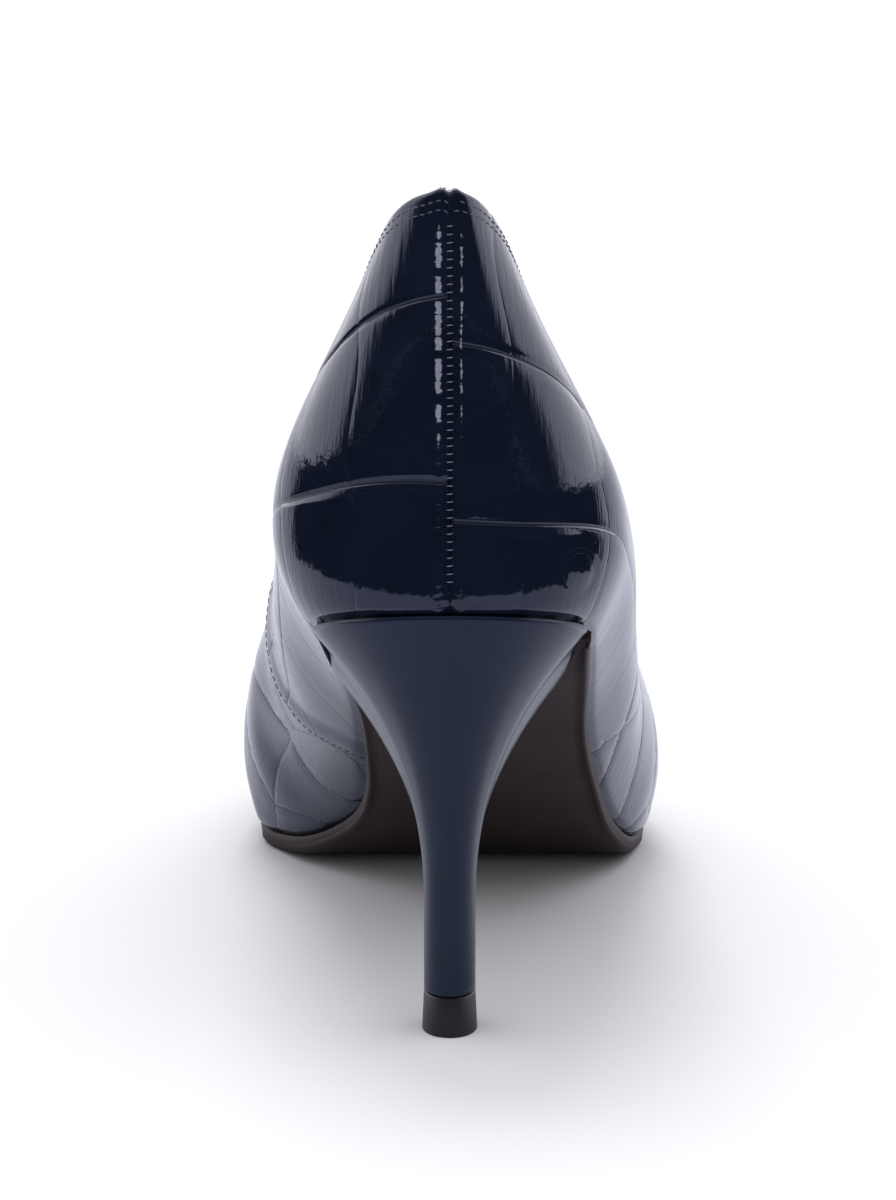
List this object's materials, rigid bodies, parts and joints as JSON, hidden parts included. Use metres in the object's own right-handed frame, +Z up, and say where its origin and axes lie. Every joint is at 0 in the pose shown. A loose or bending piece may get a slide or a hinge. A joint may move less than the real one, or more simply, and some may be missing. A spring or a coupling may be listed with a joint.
{
  "type": "high heel pump",
  "caption": "Closed-toe court shoe for the right foot, in patent leather with a moulded reptile pattern, on a slim high heel.",
  "frame": {"origin": "middle of the face that the heel stands on, at floor level", "axes": "+Y from the heel to the toe, +X to the outer side of the foot, +Z up"},
  "size_m": [0.0822, 0.2224, 0.1498],
  "materials": {
    "patent_leather": "navy patent leather with a moulded crocodile pattern, high gloss",
    "heel_lacquer": "ABS sprayed satin navy",
    "sole_leather": "dark brown sole leather, satin, with a burnished edge",
    "top_piece_tpu": "black moulded polyurethane, matt",
    "lining_leather": "tan lining leather, matt",
    "fibreboard": "brown cellulose fibreboard",
    "thermoplastic_sheet": "heat-formed stiffener sheet",
    "latex_foam": "cream foam sheet",
    "cloth_tape": "woven cotton reinforcing",
    "cork_filler": "cork sheet",
    "spring_steel": "bare steel",
    "navy_thread": "bonded nylon thread"
  },
  "bodies": {
    "root": {"medial_quarter": "patent_leather", "vamp": "patent_leather", "heel_counter": "thermoplastic_sheet", "medial_interlining": "cloth_tape", "lateral_interlining": "cloth_tape", "toe_puff": "thermoplastic_sheet", "topline_tape": "cloth_tape", "quarter_lining": "lining_leather", "vamp_lining": "lining_leather", "insole_board": "fibreboard", "backpart_board": "fibreboard", "steel_shank": "spring_steel", "rear_shank_rivet": "spring_steel", "front_shank_rivet": "spring_steel", "bottom_filler": "cork_filler", "heel_cushion": "latex_foam", "ball_cushion": "latex_foam", "sock_lining": "lining_leather", "outsole": "sole_leather", "heel_block": "heel_lacquer", "heel_tube": "spring_steel", "top_piece": "top_piece_tpu", "top_piece_pin": "spring_steel", "heel_screw": "spring_steel", "heel_nail_1": "spring_steel", "heel_nail_2": "spring_steel", "heel_nail_3": "spring_steel", "heel_nail_4": "spring_steel", "topline_stitching_upper": "navy_thread", "topline_stitching_lower": "navy_thread", "back_seam_stitching": "navy_thread", "arch_seam_stitching": "navy_thread"}
  },
  "joints": []
}
